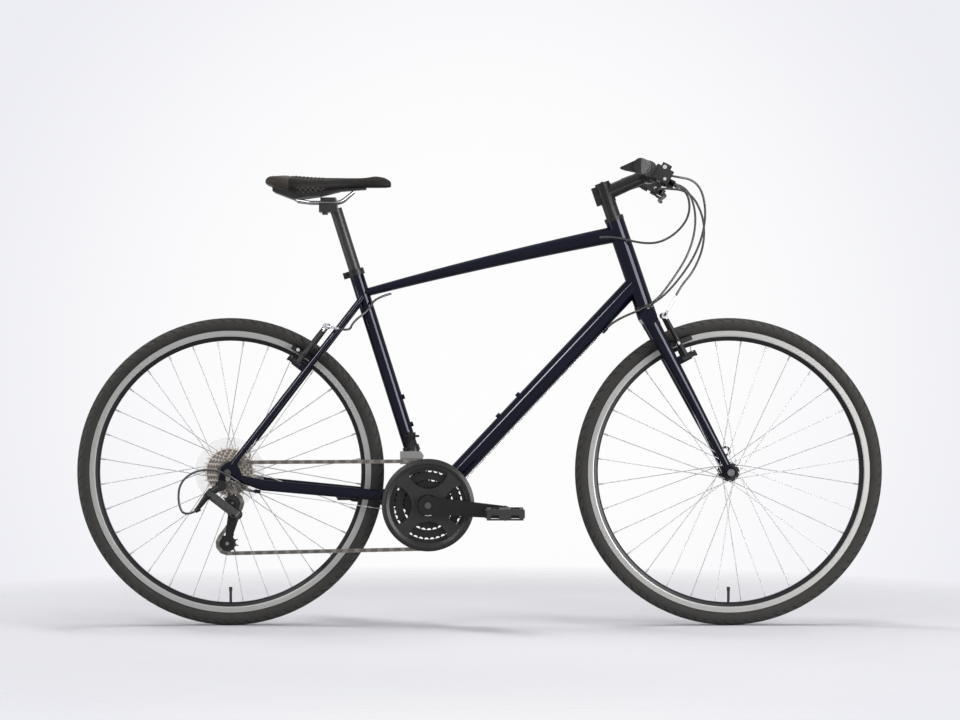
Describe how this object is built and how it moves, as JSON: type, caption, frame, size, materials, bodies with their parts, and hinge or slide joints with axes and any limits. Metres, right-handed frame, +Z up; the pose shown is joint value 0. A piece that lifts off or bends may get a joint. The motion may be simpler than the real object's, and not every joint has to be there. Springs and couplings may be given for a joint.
{
  "type": "hybrid bicycle",
  "caption": "Flat-bar hybrid bicycle with a welded diamond frame, rim brakes, derailleur gears, quick-release spoked wheels, padded saddle and winged grips.",
  "frame": {"origin": "on the ground, midway between the ends of the bike and midway across it", "axes": "+X forwards, +Y to the rider's left, +Z up; the drive side faces -Y"},
  "size_m": [1.7979, 0.6262, 1.0315],
  "materials": {
    "frame_paint": "gloss",
    "black_alloy": "satin black",
    "black_steel": "satin black",
    "bare_steel": "satin",
    "tyre_rubber": "matte",
    "rim_alloy": "satin black, bright track",
    "black_plastic": "matte",
    "clear_plastic": "clear gloss",
    "grip_rubber": "matte",
    "saddle_cover": "matte",
    "cable_jacket": "gloss"
  },
  "bodies": {
    "frame": {"bottom_bracket_shell": "frame_paint", "seat_tube": "frame_paint", "head_tube": "frame_paint", "top_tube": "frame_paint", "down_tube": "frame_paint", "rear_stays": "frame_paint", "rear_dropouts": "frame_paint", "frame_bosses": "frame_paint", "bearing_cups": "black_alloy", "seat_clamp": "black_alloy", "rear_axle": "bare_steel", "front_derailleur_mount": "black_alloy", "rear_derailleur_knuckle": "black_alloy", "frame_cables": "cable_jacket", "chain": "bare_steel"},
    "seat": {"seatpost": "black_alloy", "saddle_rails": "bare_steel", "saddle_shell": "black_plastic", "saddle_cushion": "saddle_cover"},
    "steering": {"fork": "frame_paint", "steerer": "bare_steel", "stem": "black_alloy", "handlebar": "black_alloy", "grips": "grip_rubber", "control_pods": "black_plastic", "front_axle": "bare_steel", "bar_housings": "cable_jacket"},
    "front_wheel": {"front_tyre": "tyre_rubber", "front_rim": "rim_alloy", "front_spokes": "bare_steel", "front_hub": "black_alloy"},
    "rear_wheel": {"rear_tyre": "tyre_rubber", "rear_rim": "rim_alloy", "rear_spokes": "bare_steel", "rear_hub": "black_alloy", "spoke_protector": "clear_plastic"},
    "crankset": {"crank_arms": "black_alloy", "chainrings": "black_steel", "chain_guard": "black_plastic"},
    "cassette_body": {"cassette": "bare_steel"},
    "left_pedal": {"left_pedal": "black_plastic"},
    "right_pedal": {"right_pedal": "black_plastic"},
    "left_brake_lever": {"left_brake_lever": "black_alloy"},
    "right_brake_lever": {"right_brake_lever": "black_alloy"},
    "left_shift_lever": {"left_shift_lever": "black_plastic"},
    "left_release_lever": {"left_release_lever": "black_plastic"},
    "right_shift_lever": {"right_shift_lever": "black_plastic"},
    "right_release_lever": {"right_release_lever": "black_plastic"},
    "front_left_brake_arm": {"front_left_brake_arm": "black_alloy"},
    "front_right_brake_arm": {"front_right_brake_arm": "black_alloy"},
    "rear_left_brake_arm": {"rear_left_brake_arm": "black_alloy"},
    "rear_right_brake_arm": {"rear_right_brake_arm": "black_alloy"},
    "front_derailleur_cage": {"front_derailleur_cage": "bare_steel"},
    "rear_derailleur_links": {"rear_derailleur_links": "black_alloy"},
    "rear_derailleur_carrier": {"rear_derailleur_carrier": "black_alloy"},
    "rear_derailleur_cage": {"rear_derailleur_cage": "black_alloy"},
    "guide_pulley": {"guide_pulley": "black_plastic"},
    "tension_pulley": {"tension_pulley": "black_plastic"},
    "front_release_lever": {"front_release_lever": "black_alloy"},
    "rear_release_lever": {"rear_release_lever": "black_alloy"}
  },
  "joints": [
    {"name": "steering_turn", "type": "hinge", "parent": "frame", "child": "steering", "pos_m": [0.4992, 0, 0.32366], "axis": [-0.3223, 0, 0.9466], "range_deg": [-60, 60], "deforming": ["bar_housings"]},
    {"name": "seatpost_slide", "type": "slide", "parent": "frame", "child": "seat", "axis": [-0.3007, 0, 0.9537], "range_m": [-0.1, 0.08]},
    {"name": "front_wheel_spin", "type": "hinge", "parent": "steering", "child": "front_wheel", "pos_m": [0.556, 0, 0.343], "axis": [0, 1, 0], "continuous": true},
    {"name": "rear_wheel_spin", "type": "hinge", "parent": "frame", "child": "rear_wheel", "pos_m": [-0.556, 0, 0.343], "axis": [0, 1, 0], "continuous": true},
    {"name": "crank_spin", "type": "hinge", "parent": "frame", "child": "crankset", "pos_m": [-0.11382, 0, 0.271], "axis": [0, 1, 0], "continuous": true, "deforming": ["chain"]},
    {"name": "cassette_spin", "type": "hinge", "parent": "frame", "child": "cassette_body", "pos_m": [-0.556, 0, 0.343], "axis": [0, 1, 0], "continuous": true, "deforming": ["chain"]},
    {"name": "guide_pulley_spin", "type": "hinge", "parent": "rear_derailleur_cage", "child": "guide_pulley", "pos_m": [-0.547, -0.056, 0.275], "axis": [0, 1, 0], "continuous": true, "deforming": ["chain"]},
    {"name": "tension_pulley_spin", "type": "hinge", "parent": "rear_derailleur_cage", "child": "tension_pulley", "pos_m": [-0.558, -0.056, 0.186], "axis": [0, 1, 0], "continuous": true, "deforming": ["chain"]},
    {"name": "right_pedal_spin", "type": "hinge", "parent": "crankset", "child": "right_pedal", "pos_m": [0.05553, -0.088, 0.25618], "axis": [0, 1, 0], "continuous": true},
    {"name": "left_pedal_spin", "type": "hinge", "parent": "crankset", "child": "left_pedal", "pos_m": [-0.28318, 0.088, 0.28582], "axis": [0, 1, 0], "continuous": true},
    {"name": "right_brake_squeeze", "type": "hinge", "parent": "steering", "child": "right_brake_lever", "pos_m": [0.41769, -0.15778, 0.97574], "axis": [-0.4695, 0, -0.8829], "range_deg": [0, 18], "stiffness_Nm_per_rad": 3, "deforming": ["frame_cables"]},
    {"name": "left_brake_squeeze", "type": "hinge", "parent": "steering", "child": "left_brake_lever", "pos_m": [0.41769, 0.15778, 0.97574], "axis": [0.4695, 0, 0.8829], "range_deg": [0, 18], "stiffness_Nm_per_rad": 3, "deforming": ["bar_housings"]},
    {"name": "front_left_arm_swing", "type": "hinge", "parent": "steering", "child": "front_left_brake_arm", "pos_m": [0.45984, 0.04, 0.5982], "axis": [0.8856, 0, 0.4645], "range_deg": [0, 3.1], "deforming": ["bar_housings"]},
    {"name": "front_right_arm_swing", "type": "hinge", "parent": "steering", "child": "front_right_brake_arm", "pos_m": [0.45984, -0.04, 0.5982], "axis": [-0.8856, 0, -0.4645], "range_deg": [0, 3.1], "deforming": ["bar_housings"]},
    {"name": "rear_left_arm_swing", "type": "hinge", "parent": "frame", "child": "rear_left_brake_arm", "pos_m": [-0.4058, 0.04, 0.58434], "axis": [0.7918, 0, -0.6108], "range_deg": [0, 3.1], "deforming": ["frame_cables"]},
    {"name": "rear_right_arm_swing", "type": "hinge", "parent": "frame", "child": "rear_right_brake_arm", "pos_m": [-0.4058, -0.04, 0.58434], "axis": [-0.7918, 0, 0.6108], "range_deg": [0, 3.1], "deforming": ["frame_cables"]},
    {"name": "right_shift_press", "type": "hinge", "parent": "steering", "child": "right_shift_lever", "pos_m": [0.37791, -0.15778, 0.98399], "axis": [-0.4695, 0, -0.8829], "range_deg": [0, 25], "stiffness_Nm_per_rad": 0.3},
    {"name": "right_release_pull", "type": "hinge", "parent": "steering", "child": "right_release_lever", "pos_m": [0.39733, -0.15778, 0.97366], "axis": [-0.4695, 0, -0.8829], "range_deg": [0, 12], "stiffness_Nm_per_rad": 0.3},
    {"name": "left_shift_press", "type": "hinge", "parent": "steering", "child": "left_shift_lever", "pos_m": [0.37791, 0.15778, 0.98399], "axis": [0.4695, 0, 0.8829], "range_deg": [0, 25], "stiffness_Nm_per_rad": 0.3},
    {"name": "left_release_pull", "type": "hinge", "parent": "steering", "child": "left_release_lever", "pos_m": [0.39733, 0.15778, 0.97366], "axis": [0.4695, 0, 0.8829], "range_deg": [0, 12], "stiffness_Nm_per_rad": 0.3},
    {"name": "front_derailleur_swing", "type": "hinge", "parent": "frame", "child": "front_derailleur_cage", "pos_m": [-0.15031, -0.03, 0.423], "axis": [1, 0, 0], "range_deg": [0, 18], "deforming": ["chain"]},
    {"name": "rear_derailleur_swing", "type": "hinge", "parent": "frame", "child": "rear_derailleur_links", "pos_m": [-0.596, -0.0865, 0.297], "axis": [0.5171, 0.527, 0.6745], "range_deg": [0, 20], "deforming": ["chain", "frame_cables"]},
    {"name": "rear_derailleur_level", "type": "hinge", "parent": "rear_derailleur_links", "child": "rear_derailleur_carrier", "pos_m": [-0.536, -0.0865, 0.251], "axis": [0.5171, 0.527, 0.6745], "range_deg": [-20.1, 0.1], "deforming": ["chain", "frame_cables"]},
    {"name": "derailleur_cage_turn", "type": "hinge", "parent": "rear_derailleur_carrier", "child": "rear_derailleur_cage", "pos_m": [-0.536, -0.0865, 0.251], "axis": [0, 1, 0], "range_deg": [-15, 30], "stiffness_Nm_per_rad": 0.6, "deforming": ["chain"]},
    {"name": "front_release_open", "type": "hinge", "parent": "steering", "child": "front_release_lever", "pos_m": [0.556, 0.0691, 0.343], "axis": [-1, 0, 0], "range_deg": [0, 170]},
    {"name": "rear_release_open", "type": "hinge", "parent": "frame", "child": "rear_release_lever", "pos_m": [-0.556, 0.0866, 0.343], "axis": [-0.7918, 0, 0.6108], "range_deg": [0, 170]}
  ],
  "couplings": [
    {"joint": "cassette_spin", "follows": "crank_spin", "ratio": 4.3636},
    {"joint": "guide_pulley_spin", "follows": "crank_spin", "ratio": -4.3636},
    {"joint": "tension_pulley_spin", "follows": "crank_spin", "ratio": 4.3636},
    {"joint": "rear_derailleur_level", "follows": "rear_derailleur_swing", "ratio": -1},
    {"joint": "front_left_arm_swing", "follows": "left_brake_squeeze", "ratio": 0.16667},
    {"joint": "front_right_arm_swing", "follows": "left_brake_squeeze", "ratio": 0.16667},
    {"joint": "rear_left_arm_swing", "follows": "right_brake_squeeze", "ratio": 0.16667},
    {"joint": "rear_right_arm_swing", "follows": "right_brake_squeeze", "ratio": 0.16667}
  ]
}
